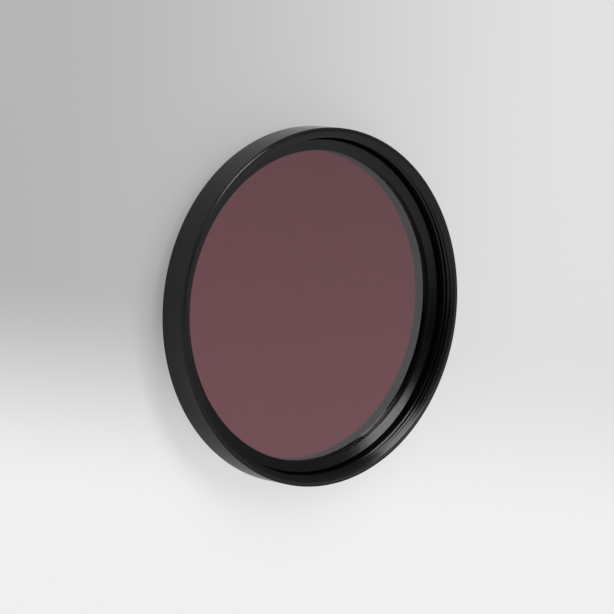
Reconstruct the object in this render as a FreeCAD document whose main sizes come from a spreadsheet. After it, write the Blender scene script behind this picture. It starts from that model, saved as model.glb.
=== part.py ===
"""Mounted 2-inch narrowband filter: a turned cell, a round filter plate and a retaining ring.

Millimetres. The optical axis is +Z, the front (female thread) looks up, and the origin is the centre of
the rear end face, on which the filter lies.
"""

import FreeCAD, Part
import Sketcher
import os

# Driving dimensions
DRIVING_SIZES = {
    # Accessory thread, M48 x 0.75: cut inside the front of the cell and outside its rear end
    "thread_diameter": 48.0,
    "thread_depth": 0.41,
    "thread_allowance": 0.05,
    # Outer wall of the cell
    "rim_width": 1.0,
    "front_edge_width": 0.45,
    "front_edge_drop": 0.03,
    "rear_edge_bevel": 0.05,
    # Front recess that takes the next filter's male thread, with a relief groove at the thread's end
    "front_recess": 2.37,
    "entry_bevel": 0.2,
    "groove_width": 0.25,
    "groove_fall": 0.4,
    # Male thread behind the cell: lead-in, full turns, then a relief under the shoulder
    "lead_in_bevel": 0.6,
    "male_thread_run": 0.85,
    "relief_width": 0.35,
    "relief_undercut": 0.05,
    # Bore of the retaining ring, a step inside the accessory thread
    "ring_bore_step": 0.27,
    "ring_clearance": 0.04,
    "ring_thickness": 0.68,
    "ring_overlap": 1.01,
    "ring_outer_bevel": 0.05,
    "ring_inner_bevel": 0.08,
    # Pocket of the filter plate
    "pocket_step": 0.47,
    "pocket_relief": 0.1,
    "glass_clearance": 0.1,
    "glass_thickness": 1.75,
    "glass_bevel": 0.15,
    # Rear lip that carries the plate
    "lip_thickness": 1.3,
    "lip_overlap": 1.11,
}

# Radii, each worked out from the thread
AXIS = "0"
NOMINAL = "dims.thread_diameter / 2"
BODY = f"{NOMINAL} + dims.rim_width"
FEMALE = f"{NOMINAL} - dims.thread_depth"
MALE = f"{NOMINAL} - dims.thread_allowance"
RELIEF = f"{FEMALE} - dims.relief_undercut"
RING_BORE = f"{FEMALE} - dims.ring_bore_step"
RING = f"{RING_BORE} - dims.ring_clearance"
POCKET = f"{RING_BORE} - dims.pocket_step"
GLASS = f"{POCKET} - dims.glass_clearance"
RING_HOLE = f"{GLASS} - dims.ring_overlap"
REAR_OPENING = f"{GLASS} - dims.lip_overlap"

# Heights above the rear end face, up through the stack of lip, plate, ring and recess
REAR = "0"
LIP_TOP = "dims.lip_thickness"
GLASS_TOP = f"{LIP_TOP} + dims.glass_thickness"
POCKET_TOP = f"{GLASS_TOP} - dims.pocket_relief"
RING_TOP = f"{GLASS_TOP} + dims.ring_thickness"
GROOVE_FLOOR = f"{RING_TOP} - dims.groove_width"
FRONT = f"{RING_TOP} + dims.front_recess"
MALE_TOP = "dims.lead_in_bevel + dims.male_thread_run"
SHOULDER = f"{MALE_TOP} + dims.relief_width"

FULL_TURN = 360.0


def make_sheet(doc):
    """Makes the sheet of driving dimensions, one named cell each."""
    sheet = doc.addObject("Spreadsheet::Sheet", "dims")
    for row, (name, value) in enumerate(DRIVING_SIZES.items(), start=1):
        sheet.set(f"A{row}", name)
        sheet.set(f"B{row}", str(value))
        sheet.setAlias(f"B{row}", name)
    doc.recompute()
    return sheet


def origin_plane(body, role):
    """Finds one of the body's own origin planes."""
    return next(feature for feature in body.Origin.OriginFeatures if feature.Role == role)


def draw_section(body, sheet, corners):
    """Draws a closed half section beside the axis, each corner held by its radius and its height."""
    sketch = body.newObject("Sketcher::SketchObject", f"{body.Name}_section")
    sketch.AttachmentSupport = [(origin_plane(body, "XZ_Plane"), "")]
    sketch.MapMode = "FlatFace"
    points = []
    for radius, height in corners:
        across = float(sheet.evalExpression(radius))
        up = float(sheet.evalExpression(height))
        points.append(FreeCAD.Vector(across, up, 0))
    count = len(points)
    for index, point in enumerate(points):
        sketch.addGeometry(Part.LineSegment(point, points[(index + 1) % count]))
    for index in range(count):
        sketch.addConstraint(Sketcher.Constraint("Coincident", index, 2, (index + 1) % count, 1))
    for index, (radius, height) in enumerate(corners):
        point = points[index]
        across = sketch.addConstraint(Sketcher.Constraint("DistanceX", -1, 1, index, 1, point.x))
        up = sketch.addConstraint(Sketcher.Constraint("DistanceY", -1, 1, index, 1, point.y))
        sketch.setExpression(f"Constraints[{across}]", radius)
        sketch.setExpression(f"Constraints[{up}]", height)
    return sketch


def turn_piece(doc, sheet, label, corners):
    """Turns one piece about the optical axis from its half section."""
    body = doc.addObject("PartDesign::Body", label)
    body.Label = label
    sketch = draw_section(body, sheet, corners)
    turned = body.newObject("PartDesign::Revolution", f"{label}_turned")
    turned.Profile = sketch
    turned.ReferenceAxis = (sketch, ["V_Axis"])
    turned.Angle = FULL_TURN
    body.Placement = FreeCAD.Placement()
    return body


def filter_cell(doc, sheet):
    """Cell: rear lip, male thread, outer wall, front rim, female thread, ring bore and glass pocket."""
    corners = [
        (REAR_OPENING, REAR),
        (f"{MALE} - dims.lead_in_bevel", REAR),
        (MALE, "dims.lead_in_bevel"),
        (MALE, MALE_TOP),
        (RELIEF, MALE_TOP),
        (RELIEF, SHOULDER),
        (f"{BODY} - dims.rear_edge_bevel", SHOULDER),
        (BODY, f"{SHOULDER} + dims.rear_edge_bevel"),
        (BODY, f"{FRONT} - dims.front_edge_drop"),
        (f"{BODY} - dims.front_edge_width", FRONT),
        (f"{FEMALE} + dims.entry_bevel", FRONT),
        (FEMALE, f"{FRONT} - dims.entry_bevel"),
        (FEMALE, RING_TOP),
        (MALE, RING_TOP),
        (MALE, f"{GROOVE_FLOOR} - dims.groove_fall"),
        (RING_BORE, GROOVE_FLOOR),
        (RING_BORE, POCKET_TOP),
        (POCKET, POCKET_TOP),
        (POCKET, LIP_TOP),
        (REAR_OPENING, LIP_TOP),
    ]
    return turn_piece(doc, sheet, "filter_cell", corners)


def filter_glass(doc, sheet):
    """Filter plate: a flat disc with a ground bevel round each face, lying on the rear lip."""
    corners = [
        (AXIS, LIP_TOP),
        (f"{GLASS} - dims.glass_bevel", LIP_TOP),
        (GLASS, f"{LIP_TOP} + dims.glass_bevel"),
        (GLASS, f"{GLASS_TOP} - dims.glass_bevel"),
        (f"{GLASS} - dims.glass_bevel", GLASS_TOP),
        (AXIS, GLASS_TOP),
    ]
    return turn_piece(doc, sheet, "filter_glass", corners)


def retaining_ring(doc, sheet):
    """Retaining ring: flat front face, bevelled at its bore and at its threaded outside."""
    corners = [
        (RING_HOLE, GLASS_TOP),
        (RING, GLASS_TOP),
        (RING, f"{RING_TOP} - dims.ring_outer_bevel"),
        (f"{RING} - dims.ring_outer_bevel", RING_TOP),
        (f"{RING_HOLE} + dims.ring_inner_bevel", RING_TOP),
        (RING_HOLE, f"{RING_TOP} - dims.ring_inner_bevel"),
    ]
    return turn_piece(doc, sheet, "retaining_ring", corners)


def check_document(doc, pieces):
    """Stops if an object of the document failed or a piece is not one sound solid."""
    for item in doc.Objects:
        if "Invalid" in item.State or "Error" in item.State:
            raise RuntimeError(f"{item.Name} failed: {item.State}")
    for piece in pieces:
        shape = piece.Shape
        if shape.isNull() or not shape.isValid() or len(shape.Solids) != 1:
            raise RuntimeError(f"{piece.Label} is not one sound solid")


def main():
    """Builds the document and writes each piece to its own file."""
    doc = FreeCAD.newDocument("narrowband_filter")
    sheet = make_sheet(doc)
    pieces = [filter_cell(doc, sheet), filter_glass(doc, sheet), retaining_ring(doc, sheet)]
    doc.recompute()
    check_document(doc, pieces)
    os.makedirs("parts", exist_ok=True)
    for piece in pieces:
        piece.Shape.exportStep(os.path.join("parts", f"{piece.Label}.step"))
        box = piece.Shape.BoundBox
        print(f"{piece.Label}: volume {piece.Shape.Volume:.2f} mm3, height {box.ZMin:.3f} to {box.ZMax:.3f} mm")


main()
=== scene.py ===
"""Looks of a mounted narrowband filter: a black anodised cell, a coated plate and a retaining ring.

The optical axis is +Z, and the filter lies on its rear end face with the front side up.
Pieces are drawn in millimetres and brought to metres when they are finished.
Finishes and the studio are in metres.
"""

import functools
import logging
import math
from dataclasses import dataclass, field
from enum import Enum

import bmesh
import bpy
import numpy as np
from mathutils import Matrix, Vector


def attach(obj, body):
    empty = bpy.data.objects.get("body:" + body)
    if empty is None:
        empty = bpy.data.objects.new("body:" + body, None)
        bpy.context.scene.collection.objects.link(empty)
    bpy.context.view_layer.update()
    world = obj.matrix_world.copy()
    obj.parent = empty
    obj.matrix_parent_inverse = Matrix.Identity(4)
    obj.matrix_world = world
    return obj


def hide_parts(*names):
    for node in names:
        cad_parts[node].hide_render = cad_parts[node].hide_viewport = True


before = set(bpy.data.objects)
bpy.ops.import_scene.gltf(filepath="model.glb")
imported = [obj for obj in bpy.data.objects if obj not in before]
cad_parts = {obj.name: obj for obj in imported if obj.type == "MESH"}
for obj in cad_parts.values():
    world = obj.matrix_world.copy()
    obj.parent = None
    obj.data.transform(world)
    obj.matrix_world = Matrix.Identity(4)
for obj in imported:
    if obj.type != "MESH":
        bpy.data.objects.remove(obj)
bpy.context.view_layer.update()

LOG = logging.getLogger("filter")
MILLIMETRE = 0.001
FULL_TURN = 2.0 * math.pi
ORIGIN = (0.0, 0.0, 0.0)
OPTICAL_AXIS = (0.0, 0.0, 1.0)
TURNING_STEPS = 320
ROUND_PROFILE = 0.5
SMOOTH_ANGLE = math.radians(50.0)

# Distance under which two points count as one, in millimetres
SAME_PLACE = 0.0005

# Angle that a wave pattern of scale 1 runs through in a metre, in radians
WAVE_ANGLE = 20.0

# Heights of the stack of rear lip, plate and ring above the rear end face, in millimetres
LIP_TOP = 1.3
PLATE_TOP = 3.05
RING_TOP = 3.73

# Sockets of the Mix node by number, because those of its values and its colours share their names
MIX_SHARE = 0
MIX_VALUES = (2, 3)
MIX_VALUE_RESULT = 0
MIX_COLOURS = (6, 7)
MIX_COLOUR_RESULT = 2


class ThreadSide(Enum):
    """Which way a thread's grooves go into the wall that carries it."""

    FEMALE = "female"
    MALE = "male"


@dataclass(frozen=True)
class Corner:
    """One corner of a half section.

    Attributes:
        radius: Distance from the optical axis, in millimetres.
        height: Height above the rear end face, in millimetres.
        rounding: Length that the rounding takes from both edges, in millimetres.
    """

    radius: float
    height: float
    rounding: float = 0.03

    def place(self) -> Vector:
        """Gives the corner's place in the section plane."""
        return Vector((self.radius, 0.0, self.height))


@dataclass(frozen=True)
class Thread:
    """A right-hand sixty-degree thread that is cut into a finely divided wall.

    Attributes:
        side: Female for a bore, male for an outside wall.
        crest: Radius of the crests, in millimetres.
        root: Radius of the groove floors, in millimetres.
        pitch: Rise of one turn, in millimetres.
        start: Height of a crest on the +X side, in millimetres.
        low: Height where the cut starts, in millimetres.
        high: Height where the cut ends, in millimetres.
        crest_share: Share of the pitch that half a crest's flat takes.
        root_share: Share of the pitch that half a groove's floor takes.
        softness: Rounding of the form's corners, as a share of a flank.
        mouth: Radius that a female groove may reach at the very front, in millimetres.
            Further in it may reach more.
        fade: Height over which the groove runs out along the helix at the thread's low end, in millimetres.
    """

    side: ThreadSide
    crest: float
    root: float
    pitch: float
    start: float
    low: float
    high: float
    crest_share: float = 0.125
    root_share: float = 0.0625
    softness: float = 0.12
    mouth: float = 0.0
    fade: float = 0.0

    def depth_at(self, turn: np.ndarray, height: np.ndarray) -> np.ndarray:
        """Works out how deep the groove is at places on the wall.

        Args:
            turn: Angles about the optical axis, in radians.
            height: Heights of the places, in millimetres.

        Returns:
            Groove depths from 0 at a crest to 1 on a groove floor.
        """
        phase = (height - self.start) / self.pitch - turn / FULL_TURN
        from_crest = np.abs(phase - np.round(phase))
        flank = 0.5 - self.crest_share - self.root_share
        along = (from_crest - self.crest_share) / flank
        soft = self.softness**2
        return 0.5 * (np.sqrt(along**2 + soft) - np.sqrt((along - 1.0) ** 2 + soft) + 1.0)

    def fade_span(self) -> float:
        """Gives how far below its middle the end of a fading thread reaches."""
        return self.pitch / 2.0 if self.fade > 0.0 else 0.0

    def cut(self, piece: bpy.types.Object) -> None:
        """Moves the wall's points onto the thread form.

        Args:
            piece: A turned piece in millimetres, whose wall has many rows of points.
        """
        mesh = piece.data
        flat = np.empty(len(mesh.vertices) * 3)
        mesh.vertices.foreach_get("co", flat)
        points = flat.reshape(-1, 3)
        radius = np.hypot(points[:, 0], points[:, 1])
        turn = np.arctan2(points[:, 1], points[:, 0])
        height = points[:, 2]
        depth = self.depth_at(turn, height)
        if self.fade > 0.0:
            end = self.low + self.pitch * turn / FULL_TURN
            depth *= np.clip((height - end) / self.fade, 0.0, 1.0)
        form = self.crest + (self.root - self.crest) * depth
        inside = (height > self.low - self.fade_span() - SAME_PLACE) & (height < self.high + SAME_PLACE)
        if self.side is ThreadSide.FEMALE:
            wall = inside & (radius > self.crest - SAME_PLACE) & (radius < self.root - SAME_PLACE)
            limit = self.mouth + (self.high - height)
            form = np.maximum(radius, np.minimum(form, limit))
        else:
            wall = inside & (radius > self.root) & (radius < self.crest + SAME_PLACE)
            form = np.minimum(radius, form)
        share = np.where(wall, form / np.maximum(radius, SAME_PLACE), 1.0)
        points[:, 0] *= share
        points[:, 1] *= share
        mesh.vertices.foreach_set("co", points.ravel())
        mesh.update()


class NodeBench:
    """Places and links the nodes of one material or world."""

    def __init__(self, tree: bpy.types.NodeTree) -> None:
        """Empties the tree.

        Args:
            tree: The node tree to fill.
        """
        self.tree = tree
        self.tree.nodes.clear()

    def add(self, kind: str, **settings: object) -> bpy.types.Node:
        """Adds one node.

        Args:
            kind: The node's type name.
            **settings: Properties of the node.

        Returns:
            The new node.
        """
        node = self.tree.nodes.new(kind)
        for name, value in settings.items():
            setattr(node, name, value)
        return node

    def join(self, source: bpy.types.NodeSocket, target: bpy.types.NodeSocket) -> None:
        """Links one socket to another."""
        self.tree.links.new(source, target)

    def place(self, coordinate: str) -> bpy.types.NodeSocket:
        """Gives a texture coordinate by its name."""
        return self.add("ShaderNodeTexCoord").outputs[coordinate]

    def parts(self, coordinate: str) -> bpy.types.Node:
        """Splits a texture coordinate.

        Args:
            coordinate: Name of the coordinate.

        Returns:
            A node whose outputs are X, Y and Z.
        """
        split = self.add("ShaderNodeSeparateXYZ")
        self.join(self.place(coordinate), split.inputs[0])
        return split

    def radius(self) -> bpy.types.NodeSocket:
        """Gives the distance from the optical axis.

        Returns:
            A socket with that distance, in metres.
        """
        flat = self.add("ShaderNodeVectorMath", operation="MULTIPLY")
        flat.inputs[1].default_value = (1.0, 1.0, 0.0)
        length = self.add("ShaderNodeVectorMath", operation="LENGTH")
        self.join(self.place("Object"), flat.inputs[0])
        self.join(flat.outputs["Vector"], length.inputs[0])
        return length.outputs["Value"]

    def noise(self, scale: float, detail: float) -> bpy.types.NodeSocket:
        """Gives a soft random pattern on the piece's own coordinates.

        Args:
            scale: Number of blotches in a metre.
            detail: Number of finer layers.

        Returns:
            A socket with values from 0 to 1.
        """
        pattern = self.add("ShaderNodeTexNoise")
        pattern.inputs["Scale"].default_value = scale
        pattern.inputs["Detail"].default_value = detail
        self.join(self.place("Object"), pattern.inputs["Vector"])
        return pattern.outputs["Fac"]

    def ramp(self, source: bpy.types.NodeSocket, reach: tuple[float, float],
             result: tuple[float, float]) -> bpy.types.NodeSocket:
        """Maps one range of values smoothly to another.

        Args:
            source: The values to map.
            reach: The ends of the source's range.
            result: What those ends become.

        Returns:
            A socket with the mapped values.
        """
        mapped = self.add("ShaderNodeMapRange", interpolation_type="SMOOTHSTEP")
        mapped.inputs["From Min"].default_value = reach[0]
        mapped.inputs["From Max"].default_value = reach[1]
        mapped.inputs["To Min"].default_value = result[0]
        mapped.inputs["To Max"].default_value = result[1]
        self.join(source, mapped.inputs["Value"])
        return mapped.outputs["Result"]

    def blend(self, share: bpy.types.NodeSocket, first: tuple[float, ...],
              second: tuple[float, ...]) -> bpy.types.NodeSocket:
        """Mixes two colours.

        Args:
            share: How much of the second colour shows.
            first: The first colour.
            second: The second colour.

        Returns:
            A socket with the mixed colour.
        """
        mixed = self.add("ShaderNodeMix", data_type="RGBA")
        for number, colour in zip(MIX_COLOURS, (first, second)):
            mixed.inputs[number].default_value = colour
        self.join(share, mixed.inputs[MIX_SHARE])
        return mixed.outputs[MIX_COLOUR_RESULT]

    def towards(self, share: bpy.types.NodeSocket, source: bpy.types.NodeSocket,
                level: float) -> bpy.types.NodeSocket:
        """Mixes values with one fixed level.

        Args:
            share: How much of the fixed level shows.
            source: The values.
            level: The fixed level.

        Returns:
            A socket with the mixed values.
        """
        mixed = self.add("ShaderNodeMix", data_type="FLOAT")
        self.join(share, mixed.inputs[MIX_SHARE])
        self.join(source, mixed.inputs[MIX_VALUES[0]])
        mixed.inputs[MIX_VALUES[1]].default_value = level
        return mixed.outputs[MIX_VALUE_RESULT]

    def calculate(self, operation: str, *sources: bpy.types.NodeSocket | float) -> bpy.types.NodeSocket:
        """Does one calculation.

        Args:
            operation: Name of the calculation.
            *sources: Its values, as sockets or as fixed numbers.

        Returns:
            A socket with the result.
        """
        step = self.add("ShaderNodeMath", operation=operation)
        for source, target in zip(sources, step.inputs):
            if isinstance(source, bpy.types.NodeSocket):
                self.join(source, target)
            else:
                target.default_value = source
        return step.outputs[0]

    def product(self, *sources: bpy.types.NodeSocket) -> bpy.types.NodeSocket:
        """Multiplies values with each other."""
        return functools.reduce(functools.partial(self.calculate, "MULTIPLY"), sources)

    def total(self, *sources: bpy.types.NodeSocket) -> bpy.types.NodeSocket:
        """Adds up values."""
        return functools.reduce(functools.partial(self.calculate, "ADD"), sources)

    def bump(self, pattern: bpy.types.NodeSocket, height: float, normal: bpy.types.NodeSocket | None = None,
             strength: bpy.types.NodeSocket | None = None, turned: bool = False) -> bpy.types.NodeSocket:
        """Lets a surface lean as a pattern does.

        Args:
            pattern: The pattern, with values from 0 to 1.
            height: Height of the pattern, in metres.
            normal: The surface's normal so far, or None for the bare surface.
            strength: Where the pattern shows, or None for everywhere.
            turned: Whether the lean is turned round.

        Returns:
            A socket with the new normal.
        """
        node = self.add("ShaderNodeBump", invert=turned)
        node.inputs["Distance"].default_value = height
        self.join(pattern, node.inputs["Height"])
        if normal is not None:
            self.join(normal, node.inputs["Normal"])
        if strength is not None:
            self.join(strength, node.inputs["Strength"])
        return node.outputs["Normal"]

    def principled(self) -> bpy.types.Node:
        """Adds the surface that a finish is set on.

        Returns:
            The surface's node, linked to the output.
        """
        surface = self.add("ShaderNodeBsdfPrincipled")
        output = self.add("ShaderNodeOutputMaterial")
        self.join(surface.outputs["BSDF"], output.inputs["Surface"])
        return surface


def new_material(name: str) -> tuple[bpy.types.Material, NodeBench]:
    """Starts a material.

    Args:
        name: Name of the material.

    Returns:
        The material and the bench for its nodes.
    """
    made = bpy.data.materials.new(name)
    made.use_nodes = True
    return made, NodeBench(made.node_tree)


@dataclass(frozen=True)
class BlackAnodise:
    """Satin black anodised aluminium with the fine feed marks that turning leaves.

    Attributes:
        name: Name of the material.
        deep: The darker of the two blacks.
        pale: The paler of the two blacks.
        blotch_scale: Number of tone blotches in a metre.
        blotch_detail: Number of finer layers in the blotches.
        blotch_spread: Values of the blotches over which the roughness changes.
        sheen: Roughness where the surface is smoothest and where it is dullest.
        gloss: Strength of the reflection, where 0.5 is that of clear lacquer.
        feed: Distance between two feed marks, in metres.
        mark_height: Height of a feed mark, in metres.
        ridge: Radius where the marks' lean changes from inward to outward, in metres.
        edge: Radius where they lean outward the most, in metres. Outside it they lean inward again.
        edge_height: Height of a feed mark there, in metres.
        bore: Radius up to which walls have marks that lean forward, in metres, or 0 for none.
        face_slope: Shares of a normal along the axis where a face's marks start to show and show fully.
        wall_slope: Shares where a wall's marks start to go and have gone.
        grain_scale: Number of grains in a metre.
        grain_detail: Number of finer layers in the grain.
        grain_height: Height of the grain, in metres.
    """

    name: str
    deep: tuple[float, ...] = (0.0026, 0.0026, 0.0028, 1.0)
    pale: tuple[float, ...] = (0.0044, 0.0044, 0.0047, 1.0)
    blotch_scale: float = 260.0
    blotch_detail: float = 4.0
    blotch_spread: tuple[float, float] = (0.3, 0.7)
    sheen: tuple[float, float] = (0.12, 0.15)
    gloss: float = 0.30
    feed: float = 0.00012
    mark_height: float = 0.0000299
    ridge: float = 0.0245
    edge: float = 0.02468
    edge_height: float = 0.00006
    bore: float = 0.0
    face_slope: tuple[float, float] = (0.965, 0.985)
    wall_slope: tuple[float, float] = (0.3, 0.6)
    grain_scale: float = 9000.0
    grain_detail: float = 2.0
    grain_height: float = 0.0000008

    def material(self) -> bpy.types.Material:
        """Makes the material.

        Returns:
            The finished material.
        """
        made, bench = new_material(self.name)
        surface = bench.principled()
        surface.inputs["Specular IOR Level"].default_value = self.gloss
        blotches = bench.noise(self.blotch_scale, self.blotch_detail)
        bench.join(bench.blend(blotches, self.deep, self.pale), surface.inputs["Base Color"])
        bench.join(bench.ramp(blotches, self.blotch_spread, self.sheen), surface.inputs["Roughness"])
        bench.join(self.relief(bench), surface.inputs["Normal"])
        return made

    def relief(self, bench: NodeBench) -> bpy.types.NodeSocket:
        """Makes the feed marks and the grain.

        Args:
            bench: The material's nodes.

        Returns:
            A socket with the bumped normal.
        """
        facing = bench.parts("Normal").outputs["Z"]
        radius = bench.radius()
        normal = self.face_marks(bench, facing, radius)
        if self.bore > 0.0:
            normal = self.bore_marks(bench, facing, radius, normal)
        grain = bench.noise(self.grain_scale, self.grain_detail)
        return bench.bump(grain, self.grain_height, normal)

    def face_marks(self, bench: NodeBench, facing: bpy.types.NodeSocket,
                   radius: bpy.types.NodeSocket) -> bpy.types.NodeSocket:
        """Makes the rings that turning leaves on flat faces.

        Args:
            bench: The material's nodes.
            facing: Share of the normal along the axis.
            radius: Distance from the optical axis.

        Returns:
            A socket with the bumped normal.
        """
        line_end = self.edge + self.feed / 2.0
        on_faces = bench.ramp(facing, self.face_slope, (0.0, 1.0))
        inner = bench.ramp(radius, (self.ridge - self.feed, self.ridge), (1.0, 0.0))
        rising = bench.ramp(radius, (self.ridge, self.edge), (0.0, 1.0))
        ending = bench.ramp(radius, (self.edge, line_end), (1.0, 0.0))
        beyond = bench.ramp(radius, (line_end, self.edge + self.feed), (0.0, 1.0))
        inward = bench.product(on_faces, bench.total(inner, beyond))
        outward = bench.product(on_faces, rising, ending)
        rings = self.saw(bench, wave_type="RINGS", rings_direction="Z")
        normal = bench.bump(rings, self.mark_height, strength=inward)
        return bench.bump(rings, self.edge_height, normal, outward, turned=True)

    def bore_marks(self, bench: NodeBench, facing: bpy.types.NodeSocket, radius: bpy.types.NodeSocket,
                   normal: bpy.types.NodeSocket) -> bpy.types.NodeSocket:
        """Makes the rings that turning leaves on the wall of a bore.

        Args:
            bench: The material's nodes.
            facing: Share of the normal along the axis.
            radius: Distance from the optical axis.
            normal: The normal so far.

        Returns:
            A socket with the bumped normal.
        """
        on_walls = bench.ramp(facing, self.wall_slope, (1.0, 0.0))
        inside = bench.ramp(radius, (self.bore, self.bore + self.feed), (1.0, 0.0))
        bands = self.saw(bench, wave_type="BANDS", bands_direction="Z")
        return bench.bump(bands, self.mark_height, normal, bench.product(on_walls, inside), turned=True)

    def saw(self, bench: NodeBench, **layout: str) -> bpy.types.NodeSocket:
        """Makes a saw-tooth pattern of feed marks.

        Args:
            bench: The material's nodes.
            **layout: Which way the pattern runs.

        Returns:
            A socket that rises from 0 to 1 over each mark.
        """
        wave = bench.add("ShaderNodeTexWave", wave_profile="SAW", **layout)
        wave.inputs["Scale"].default_value = FULL_TURN / (WAVE_ANGLE * self.feed)
        bench.join(bench.place("Object"), wave.inputs["Vector"])
        return wave.outputs["Fac"]


@dataclass(frozen=True)
class CoatedGlass:
    """Filter glass that passes a little deep red, with a reflecting coating and a ground edge.

    Attributes:
        name: Name of the material.
        passed: Colour that the plate passes.
        passed_too: Colour that it passes where the coating is a little thinner.
        drift_scale: Number of coating blotches in a metre.
        drift_detail: Number of finer layers in the blotches.
        polish: Roughness of the polished faces.
        ground: Roughness of the ground edge.
        clear_radius: Radius inside which the plate is polished, in metres.
        ground_width: Width of the change from polished to ground, in metres.
        clearness: Share of the light that enters the plate and isn't scattered.
        bending: Refractive index of the plate.
        coating: Strength of the coating.
        coating_bending: Refractive index of the coating.
    """

    name: str
    passed: tuple[float, ...] = (0.076, 0.0018, 0.0100, 1.0)
    passed_too: tuple[float, ...] = (0.083, 0.0022, 0.0116, 1.0)
    drift_scale: float = 40.0
    drift_detail: float = 1.0
    polish: float = 0.0
    ground: float = 0.55
    clear_radius: float = 0.02255
    ground_width: float = 0.00005
    clearness: float = 1.0
    bending: float = 1.5
    coating: float = 1.0
    coating_bending: float = 1.7

    def material(self) -> bpy.types.Material:
        """Makes the material.

        Returns:
            The finished material.
        """
        made, bench = new_material(self.name)
        surface = bench.principled()
        surface.inputs["Transmission Weight"].default_value = self.clearness
        surface.inputs["IOR"].default_value = self.bending
        surface.inputs["Coat Weight"].default_value = self.coating
        surface.inputs["Coat IOR"].default_value = self.coating_bending
        surface.inputs["Coat Roughness"].default_value = self.polish
        drift = bench.noise(self.drift_scale, self.drift_detail)
        bench.join(bench.blend(drift, self.passed, self.passed_too), surface.inputs["Base Color"])
        change = (self.clear_radius, self.clear_radius + self.ground_width)
        roughness = bench.ramp(bench.radius(), change, (self.polish, self.ground))
        bench.join(roughness, surface.inputs["Roughness"])
        return made


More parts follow.
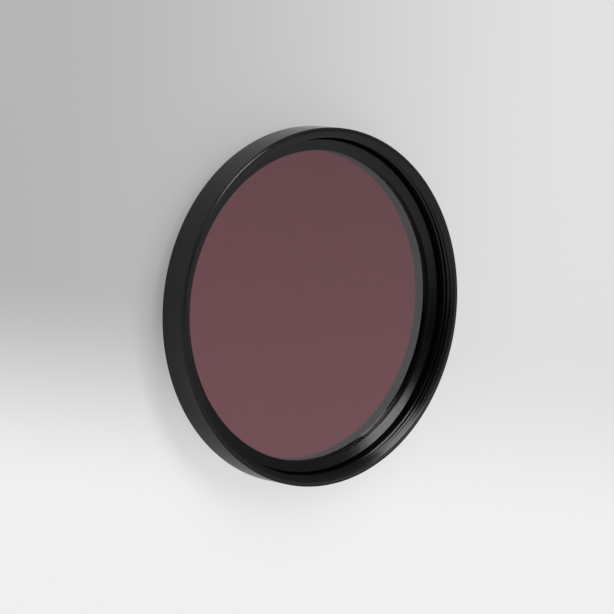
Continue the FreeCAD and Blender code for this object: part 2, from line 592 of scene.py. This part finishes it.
@dataclass
class TurnedPiece:
    """A piece that is turned about the optical axis from one half section.

    Attributes:
        name: Name of the finished piece.
        node: The CAD node that the piece stands for.
        slot: The record's material slot.
        corner_steps: Number of facets in a rounded corner.
        fine_rounding: Rounding of the sharpest corners, in millimetres.
    """
    # slot: The record's material slot; not used.

    name: str
    node: str
    slot: str
    corner_steps: int = 3
    fine_rounding: float = 0.02

    def corners(self) -> list[Corner]:
        """Gives the corners of the half section in order."""
        raise NotImplementedError

    def finish(self) -> bpy.types.Material:
        """Makes the piece's material."""
        raise NotImplementedError

    def divide(self, piece: bpy.types.Object) -> None:
        """Divides the walls that carry a thread. A plain turned piece has none."""

    def shape(self, piece: bpy.types.Object) -> None:
        """Adds what the section alone doesn't give. A plain turned piece has nothing to add."""

    def build(self) -> bpy.types.Object:
        """Builds, dresses and places the piece.

        Returns:
            The finished piece.
        """
        piece = self.draw_section()
        self.round_corners(piece)
        self.divide(piece)
        self.turn(piece)
        self.shape(piece)
        piece.scale = (MILLIMETRE, MILLIMETRE, MILLIMETRE)
        bpy.ops.object.transform_apply(location=True, rotation=True, scale=True)
        bpy.ops.object.shade_smooth_by_angle(angle=SMOOTH_ANGLE)
        weighted = piece.modifiers.new("even_faces", "WEIGHTED_NORMAL")
        weighted.keep_sharp = True
        bpy.ops.object.modifier_apply(modifier=weighted.name)
        piece.data.materials.clear()
        piece.data.materials.append(self.finish())
        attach(piece, "root")
        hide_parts(self.node)
        LOG.info("%s: %d faces", piece.name, len(piece.data.polygons))
        return piece

    def draw_section(self) -> bpy.types.Object:
        """Draws the half section as one face, from one point that is extruded corner by corner.

        Returns:
            The new piece, in edit mode.
        """
        corners = self.corners()
        bpy.ops.object.select_all(action="DESELECT")
        bpy.ops.mesh.primitive_plane_add(size=1.0)
        piece = bpy.context.object
        piece.name = self.name
        piece.data.name = self.name
        bpy.ops.object.mode_set(mode="EDIT")
        bpy.ops.mesh.select_all(action="SELECT")
        bpy.ops.mesh.merge(type="CENTER")
        bpy.ops.transform.translate(value=corners[0].place())
        for here, there in zip(corners, corners[1:]):
            step = there.place() - here.place()
            bpy.ops.mesh.extrude_vertices_move(TRANSFORM_OT_translate={"value": step})
        bpy.ops.mesh.select_all(action="SELECT")
        bpy.ops.mesh.edge_face_add()
        return piece

    def round_corners(self, piece: bpy.types.Object) -> None:
        """Rounds each corner of the section that has a rounding.

        Args:
            piece: The piece whose section is a face, in edit mode.
        """
        for corner in self.corners():
            if corner.rounding <= 0.0:
                continue
            self.select_point(piece, corner.place())
            bpy.ops.mesh.bevel(offset_type="OFFSET", offset=corner.rounding, segments=self.corner_steps,
                               profile=ROUND_PROFILE, affect="VERTICES", clamp_overlap=True)

    def select_point(self, piece: bpy.types.Object, place: Vector) -> None:
        """Selects the point at one place and nothing else.

        Args:
            piece: The piece, in edit mode.
            place: The place, in millimetres.
        """
        bpy.ops.mesh.select_all(action="DESELECT")
        bpy.ops.mesh.select_mode(type="VERT")
        section = bmesh.from_edit_mesh(piece.data)
        for point in section.verts:
            point.select = (point.co - place).length < SAME_PLACE
        section.select_flush_mode()
        bmesh.update_edit_mesh(piece.data)

    def divide_wall(self, piece: bpy.types.Object, start: Corner, end: Corner, rows: int) -> None:
        """Divides one straight run of the section into rows of points.

        Args:
            piece: The piece whose section is a face, in edit mode.
            start: One end of the run.
            end: The run's other end.
            rows: Number of new points.
        """
        bpy.ops.mesh.select_all(action="DESELECT")
        bpy.ops.mesh.select_mode(type="EDGE")
        run = (end.place() - start.place()).normalized()
        section = bmesh.from_edit_mesh(piece.data)
        longest = max(section.edges, key=lambda edge: self.shared_length(edge, start.place(), run))
        longest.select = True
        section.select_flush_mode()
        bmesh.update_edit_mesh(piece.data)
        bpy.ops.mesh.subdivide(number_cuts=rows)

    @staticmethod
    def shared_length(edge: bmesh.types.BMEdge, start: Vector, run: Vector) -> float:
        """Measures how much of an edge lies on a straight line.

        Args:
            edge: An edge of the section.
            start: A point on the line.
            run: The line's direction.

        Returns:
            The edge's length if it lies on the line, and otherwise 0.
        """
        for point in edge.verts:
            if (point.co - start).cross(run).length > SAME_PLACE:
                return 0.0
        return edge.calc_length()

    def turn(self, piece: bpy.types.Object) -> None:
        """Spins the section's outline once round the optical axis and closes it.

        Args:
            piece: The piece whose section is a face, in edit mode.
        """
        bpy.ops.mesh.select_all(action="SELECT")
        bpy.ops.mesh.delete(type="ONLY_FACE")
        bpy.ops.mesh.select_all(action="DESELECT")
        bpy.ops.mesh.select_mode(type="EDGE")
        section = bmesh.from_edit_mesh(piece.data)
        for edge in section.edges:
            edge.select = all(abs(point.co.x) < SAME_PLACE for point in edge.verts)
        on_axis = any(edge.select for edge in section.edges)
        bmesh.update_edit_mesh(piece.data)
        if on_axis:
            bpy.ops.mesh.delete(type="EDGE")
        bpy.ops.mesh.select_mode(type="VERT")
        bpy.ops.mesh.select_all(action="SELECT")
        bpy.ops.mesh.spin(steps=TURNING_STEPS, angle=FULL_TURN, center=ORIGIN, axis=OPTICAL_AXIS)
        bpy.ops.mesh.select_all(action="SELECT")
        bpy.ops.mesh.remove_doubles(threshold=SAME_PLACE)
        bpy.ops.mesh.normals_make_consistent(inside=False)
        bpy.ops.object.mode_set(mode="OBJECT")


@dataclass
class FilterCell(TurnedPiece):
    """The cell: male thread, shoulder, outer wall, front rim, female thread, ring bore and glass pocket.

    Attributes:
        body: Radius of the outer wall.
        female: Radius of the female thread's crests.
        nominal: Radius of the female thread's groove floors.
        male: Radius of the male thread's crests, and of the relief groove.
        male_root: Radius of the male thread's groove floors.
        ring_bore: Radius of the bore that takes the retaining ring.
        pocket: Radius of the pocket that takes the plate.
        opening: Radius of the rear opening.
        lead_in: Bevel at the start of the male thread.
        male_end: Height where the male thread ends.
        shoulder: Height of the shoulder.
        rear_bevel: Bevel at the shoulder's edge.
        front: Height of the front rim.
        edge_width: Width of the broken outer edge of the rim.
        edge_drop: How far that edge falls.
        edge_rounding: Rounding between the rim and that edge.
        entry: Bevel at the mouth of the female thread.
        entry_rounding: Rounding between the rim and that bevel.
        thread_end: Height where the threaded bore ends.
        groove_floor: Height of the relief groove's floor at the ring bore.
        groove_fall: How far that floor falls outward.
        pocket_top: Height of the pocket's edge.
        lip_top: Height of the rear lip that carries the plate.
        pitch: Pitch of both threads.
        row_height: Height of one row of points on a threaded wall.
        thread_low: Height where the female groove has run out on the +X side.
        run_out: Height over which it runs out.
        front_crest: Height of a female crest on the +X side.
        front_crest_share: Share of the pitch that half a female crest's flat takes.
        rear_crest: Height of a male crest on the +X side.
    """

    body: float = 25.0
    female: float = 23.59
    nominal: float = 24.0
    male: float = 23.95
    male_root: float = 23.54
    ring_bore: float = 23.32
    pocket: float = 22.85
    opening: float = 21.64
    lead_in: float = 0.6
    male_end: float = 1.45
    shoulder: float = 1.8
    rear_bevel: float = 0.05
    front: float = 6.1
    edge_width: float = 0.45
    edge_drop: float = 0.03
    edge_rounding: float = 0.1
    entry: float = 0.2
    entry_rounding: float = 0.2
    thread_end: float = RING_TOP
    groove_floor: float = 3.48
    groove_fall: float = 0.4
    pocket_top: float = 2.95
    lip_top: float = LIP_TOP
    pitch: float = 0.75
    row_height: float = 0.023
    thread_low: float = 4.36
    run_out: float = 0.25
    front_crest: float = 5.2
    front_crest_share: float = 0.15
    rear_crest: float = 0.9

    def corners(self) -> list[Corner]:
        """Gives the corners of the cell's half section in order."""
        return [
            Corner(self.opening, 0.0),
            Corner(self.male - self.lead_in, 0.0),
            Corner(self.male, self.lead_in, 0.0),
            Corner(self.male, self.male_end, 0.0),
            Corner(self.male_root, self.male_end, 0.0),
            Corner(self.male_root, self.shoulder),
            Corner(self.body - self.rear_bevel, self.shoulder, self.fine_rounding),
            Corner(self.body, self.shoulder + self.rear_bevel, self.fine_rounding),
            Corner(self.body, self.front - self.edge_drop, self.fine_rounding),
            Corner(self.body - self.edge_width, self.front, self.edge_rounding),
            Corner(self.female + self.entry, self.front, self.entry_rounding),
            Corner(self.female, self.front - self.entry, 0.0),
            Corner(self.female, self.thread_end, 0.0),
            Corner(self.male, self.thread_end, 0.0),
            Corner(self.male, self.groove_floor - self.groove_fall),
            Corner(self.ring_bore, self.groove_floor),
            Corner(self.ring_bore, self.pocket_top),
            Corner(self.pocket, self.pocket_top),
            Corner(self.pocket, self.lip_top),
            Corner(self.opening, self.lip_top),
        ]

    def finish(self) -> bpy.types.Material:
        """Makes the cell's black anodise."""
        return BlackAnodise("black_anodised_cell_look").material()

    def threads(self) -> list[Thread]:
        """Gives the female thread and the male thread.

        Returns:
            Both threads, with their sizes and places.
        """
        return [
            Thread(ThreadSide.FEMALE, self.female, self.nominal, self.pitch, self.front_crest,
                   self.thread_low, self.front, crest_share=self.front_crest_share,
                   mouth=self.female + self.entry, fade=self.run_out),
            Thread(ThreadSide.MALE, self.male, self.male_root, self.pitch, self.rear_crest,
                   0.0, self.male_end),
        ]

    def divide(self, piece: bpy.types.Object) -> None:
        """Divides the threaded walls and their bevels into fine rows.

        Args:
            piece: The cell's section, in edit mode.
        """
        runs = [
            (Corner(self.female, self.front - self.entry), Corner(self.female, self.thread_end)),
            (Corner(self.female + self.entry, self.front), Corner(self.female, self.front - self.entry)),
            (Corner(self.male, self.lead_in), Corner(self.male, self.male_end)),
            (Corner(self.male - self.lead_in, 0.0), Corner(self.male, self.lead_in)),
        ]
        for start, end in runs:
            rows = int((end.place() - start.place()).length / self.row_height)
            self.divide_wall(piece, start, end, rows)

    def shape(self, piece: bpy.types.Object) -> None:
        """Cuts both threads into the turned cell, in millimetres."""
        for thread in self.threads():
            thread.cut(piece)


@dataclass
class RetainingRing(TurnedPiece):
    """The ring that holds the plate down.

    Attributes:
        outside: Radius of the ring's outside.
        hole: Radius of its hole.
        bottom: Height of its bottom face.
        top: Height of its front face.
        outer_bevel: Bevel at the outside.
        inner_bevel: Bevel at the hole.
    """

    outside: float = 23.28
    hole: float = 21.74
    bottom: float = PLATE_TOP
    top: float = RING_TOP
    outer_bevel: float = 0.05
    inner_bevel: float = 0.08

    def corners(self) -> list[Corner]:
        """Gives the corners of the ring's half section in order."""
        return [
            Corner(self.hole, self.bottom),
            Corner(self.outside, self.bottom),
            Corner(self.outside, self.top - self.outer_bevel, self.fine_rounding),
            Corner(self.outside - self.outer_bevel, self.top, self.fine_rounding),
            Corner(self.hole + self.inner_bevel, self.top),
            Corner(self.hole, self.top - self.inner_bevel),
        ]

    def finish(self) -> bpy.types.Material:
        """Makes the ring's black anodise, with marks on the wall of its hole."""
        bore = (self.hole + self.inner_bevel) * MILLIMETRE
        return BlackAnodise("black_anodised_ring_look", bore=bore).material()


@dataclass
class FilterPlate(TurnedPiece):
    """The flat filter plate with a ground bevel round each face.

    Attributes:
        edge: Radius of the plate.
        bottom: Height of the rear face.
        top: Height of the front face.
        bevel: Ground bevel round each face.
        film: Air film left under the ring and over the lip.
    """

    edge: float = 22.75
    bottom: float = LIP_TOP
    top: float = PLATE_TOP
    bevel: float = 0.15
    film: float = 0.003

    def corners(self) -> list[Corner]:
        """Gives the corners of the plate's half section in order."""
        low = self.bottom + self.film
        high = self.top - self.film
        return [
            Corner(0.0, low, 0.0),
            Corner(self.edge - self.bevel, low, self.fine_rounding),
            Corner(self.edge, low + self.bevel, self.fine_rounding),
            Corner(self.edge, high - self.bevel, self.fine_rounding),
            Corner(self.edge - self.bevel, high, self.fine_rounding),
            Corner(0.0, high, 0.0),
        ]

    def finish(self) -> bpy.types.Material:
        """Makes the plate's coated glass."""
        return CoatedGlass("coated_glass_look").material()


@dataclass
class PaleFloor:
    """The pale floor, which keeps the filter's shadow.

    Attributes:
        size: Length of its sides.
        gap: How far it lies under the filter.
        colour: Its colour.
        glow: Extra radiance that its front shows to the camera, painted light on the floor.
        fade: Share of that radiance at the far left and at the far right, a painted light falloff that
            leaves the left darker.
        painted_falloff_reach: Places along Y between which the one share becomes the other.
        painted_front_light_reach: Places along X between which the far part becomes the front.
        mirror_glow: Extra radiance that it shows in reflections.
        painted_glass_glow: Extra radiance that it shows through glass, on the -X side and on the +X side.
        painted_glass_reach: Places along X between which the one becomes the other.
    """

    size: float = 6.0
    gap: float = 0.0001
    colour: tuple[float, ...] = (0.24, 0.24, 0.24, 1.0)
    # Painted light: the glow that the camera sees falls off from the front towards the far left, a painted
    # light falloff on the floor.
    glow: float = 0.65
    fade: tuple[float, float] = (0.35, 0.79)
    painted_falloff_reach: tuple[float, float] = (-0.055, 0.055)
    painted_front_light_reach: tuple[float, float] = (0.0, 0.030)
    mirror_glow: float = 0.3
    # Painted light: the floor under the plate lies in the filter's shadow, and this glow paints it lit,
    # brighter towards the +X side, where it is seen through the glass.
    painted_glass_glow: tuple[float, float] = (0.74, 0.97)
    painted_glass_reach: tuple[float, float] = (-0.02, 0.02)

    def build(self) -> bpy.types.Object:
        """Lays the floor.

        Returns:
            The floor's object.
        """
        bpy.ops.object.select_all(action="DESELECT")
        bpy.ops.mesh.primitive_plane_add(size=self.size, location=(0.0, 0.0, -self.gap))
        floor = bpy.context.object
        floor.name = "pale_floor"
        floor.data.materials.append(self.material())
        return floor

    def material(self) -> bpy.types.Material:
        """Makes the floor's matt surface and its extra radiance.

        Returns:
            The finished material.
        """
        made, bench = new_material("pale_floor_painted_light_look")
        matt = bench.add("ShaderNodeBsdfDiffuse")
        matt.inputs["Color"].default_value = self.colour
        # Painted light: this emission paints the floor's light falloff and, under the plate, a lit floor
        # where there is shade.
        glow = bench.add("ShaderNodeEmission")
        bench.join(self.radiance(bench), glow.inputs["Strength"])
        both = bench.add("ShaderNodeAddShader")
        bench.join(matt.outputs[0], both.inputs[0])
        bench.join(glow.outputs[0], both.inputs[1])
        output = bench.add("ShaderNodeOutputMaterial")
        bench.join(both.outputs[0], output.inputs["Surface"])
        return made

    def radiance(self, bench: NodeBench) -> bpy.types.NodeSocket:
        """Gives the extra radiance, which grows from the far left corner to the front.

        Args:
            bench: The floor's nodes.

        Returns:
            A socket with the radiance.
        """
        rays = bench.add("ShaderNodeLightPath")
        parts = bench.parts("Object")
        # Painted light falloff: the glow seen by the camera is dimmer on the left and grows towards the
        # front.
        left, right = self.fade
        painted_falloff = bench.ramp(parts.outputs["Y"], self.painted_falloff_reach, (left * self.glow, right * self.glow))
        front = bench.ramp(parts.outputs["X"], self.painted_front_light_reach, (0.0, 1.0))
        seen = bench.product(rays.outputs["Is Camera Ray"], bench.towards(front, painted_falloff, self.glow))
        mirrored = bench.calculate("MULTIPLY", rays.outputs["Is Glossy Ray"], self.mirror_glow)
        # Painted light seen through the plate: the shaded floor under it glows, brighter towards the +X
        # side.
        painted_glass_light = bench.ramp(parts.outputs["X"], self.painted_glass_reach, self.painted_glass_glow)
        through = bench.product(rays.outputs["Is Transmission Ray"], painted_glass_light)
        return bench.total(seen, mirrored, through)


@dataclass
class Surroundings:
    """Soft light from all round, but less from a band that passes overhead.

    Directions are given by their parts, which run from -1 to 1.

    Attributes:
        glow: Radiance of the surroundings.
        lean: Share of it on the -X side and on the +X side.
        lean_reach: Parts along X between which the one share becomes the other.
        band_glow: Share that is left in the dark band overhead.
        band_offset: How far the band lies to the -X side.
        band_sides: Distances from its middle between which the band ends.
        band_height: Parts along Z between which the band starts.
        rear_glow: Share that is left behind the camera.
        rear_reach: Parts along Y between which that share ends.
        far_glow: Share that is left low on the far side.
        far_reach: Parts along Y between which that share starts.
        side_glow: Share that is left on the -X side.
        side_reach: Parts along X between which that share ends.
        backdrop: Radiance where the camera sees the surroundings.
    """

    glow: float = 0.77
    lean: tuple[float, float] = (0.75, 1.25)
    lean_reach: tuple[float, float] = (-0.16, 0.16)
    band_glow: float = 0.05
    band_offset: float = 0.08
    band_sides: tuple[float, float] = (0.08, 0.31)
    band_height: tuple[float, float] = (0.82, 0.93)
    rear_glow: float = 0.45
    rear_reach: tuple[float, float] = (-0.75, -0.35)
    far_glow: float = 0.7
    far_reach: tuple[float, float] = (0.72, 0.95)
    side_glow: float = 0.5
    side_reach: tuple[float, float] = (-0.40, -0.10)
    backdrop: float = 0.8

    def build(self) -> None:
        """Makes the world that gives this light."""
        world = bpy.data.worlds.new("soft_surroundings")
        world.use_nodes = True
        bpy.context.scene.world = world
        bench = NodeBench(world.node_tree)
        rays = bench.add("ShaderNodeLightPath")
        level = bench.towards(rays.outputs["Is Camera Ray"], self.radiance(bench), self.backdrop)
        sky = bench.add("ShaderNodeBackground")
        bench.join(level, sky.inputs["Strength"])
        output = bench.add("ShaderNodeOutputWorld")
        bench.join(sky.outputs[0], output.inputs["Surface"])

    def radiance(self, bench: NodeBench) -> bpy.types.NodeSocket:
        """Gives the radiance that lights the filter.

        Args:
            bench: The world's nodes.

        Returns:
            A socket with the radiance.
        """
        along_x, along_y, along_z = bench.parts("Generated").outputs
        left, right = self.lean
        leaning = bench.ramp(along_x, self.lean_reach, (left * self.glow, right * self.glow))
        aside = bench.calculate("ABSOLUTE", bench.calculate("ADD", along_x, self.band_offset))
        beside_band = bench.ramp(aside, self.band_sides, (self.band_glow, 1.0))
        below_band = bench.ramp(along_z, self.band_height, (1.0, self.band_glow))
        outside_band = bench.calculate("MAXIMUM", beside_band, below_band)
        rear = bench.ramp(along_y, self.rear_reach, (self.rear_glow, 1.0))
        far = bench.ramp(along_y, self.far_reach, (1.0, self.far_glow))
        side = bench.ramp(along_x, self.side_reach, (self.side_glow, 1.0))
        return bench.product(outside_band, leaning, rear, far, side)


@dataclass
class Lamp:
    """A soft strip lamp that looks at the filter.

    Attributes:
        name: Name of the lamp.
        first: Direction from the filter to one end of the strip.
        last: Direction from the filter to its other end.
        distance: How far the lamp is.
        width: Width of the strip.
        glow: Radiance of its face.
    """

    name: str
    first: tuple[float, float, float]
    last: tuple[float, float, float]
    distance: float
    width: float
    glow: float

    def build(self) -> bpy.types.Object:
        """Makes the lamp.

        Returns:
            The lamp's object.
        """
        start = Vector(self.first).normalized() * self.distance
        end = Vector(self.last).normalized() * self.distance
        light = bpy.data.lights.new(self.name, "AREA")
        light.shape = "RECTANGLE"
        light.size = (end - start).length
        light.size_y = self.width
        light.energy = self.glow * math.pi * light.size * light.size_y
        lamp = bpy.data.objects.new(self.name, light)
        bpy.context.scene.collection.objects.link(lamp)
        middle = (start + end) / 2.0
        along = (end - start).normalized()
        away = (middle - along * middle.dot(along)).normalized()
        turn = Matrix((along, away.cross(along), away)).transposed()
        lamp.matrix_world = Matrix.Translation(middle) @ turn.to_4x4()
        return lamp


@dataclass
class PhotoCamera:
    """The camera at the photograph's viewing angle.

    Attributes:
        place: Where the camera is.
        tilt: How far it looks away from straight down, in degrees.
        roll: How far it is rolled, in degrees.
        lens: Focal length, in millimetres on a 36 mm sensor.
    """

    place: tuple[float, float, float] = (0.00024, -0.29735, 0.35116)
    tilt: float = 40.45
    roll: float = 98.41
    lens: float = 192.7

    def build(self) -> bpy.types.Object:
        """Makes the camera and looks through it.

        Returns:
            The camera's object.
        """
        data = bpy.data.cameras.new("photo_camera")
        data.lens = self.lens
        camera = bpy.data.objects.new("photo_camera", data)
        bpy.context.scene.collection.objects.link(camera)
        tilt = Matrix.Rotation(math.radians(self.tilt), 4, "X")
        roll = Matrix.Rotation(math.radians(self.roll), 4, "Z")
        camera.matrix_world = Matrix.Translation(self.place) @ tilt @ roll
        bpy.context.scene.camera = camera
        return camera


@dataclass
class Studio:
    """The pale floor, the soft light and the camera.

    Attributes:
        floor: The floor.
        surroundings: The light from all round.
        lamps: The soft lamps.
        camera: The camera.
    """

    floor: PaleFloor = field(default_factory=PaleFloor)
    surroundings: Surroundings = field(default_factory=Surroundings)
    lamps: list[Lamp] = field(default_factory=lambda: [
        Lamp("key_strip", first=(-0.124, 0.454, 0.8825), last=(-0.455, 0.170, 0.874),
             distance=0.7, width=0.11, glow=8.3),
        Lamp("side_strip", first=(-0.477, 0.100, 0.873), last=(-0.843, -0.287, 0.456),
             distance=0.7, width=0.25, glow=7.0),
    ])
    camera: PhotoCamera = field(default_factory=PhotoCamera)

    def build(self) -> None:
        """Builds the floor, the light and the camera."""
        self.floor.build()
        self.surroundings.build()
        for lamp in self.lamps:
            lamp.build()
        self.camera.build()
        bpy.context.scene.view_settings.view_transform = "Standard"
        LOG.info("studio: %d lamps", len(self.lamps))


def main() -> None:
    """Builds the pieces and the studio in order."""
    logging.basicConfig(level=logging.INFO, format="%(name)s: %(message)s")
    FilterCell("cell_turned", "filter_cell", "black_anodised_cell").build()
    RetainingRing("ring_turned", "retaining_ring", "black_anodised_ring").build()
    FilterPlate("plate_polished", "filter_glass", "coated_glass").build()
    Studio().build()


if __name__ == "__main__":
    main()
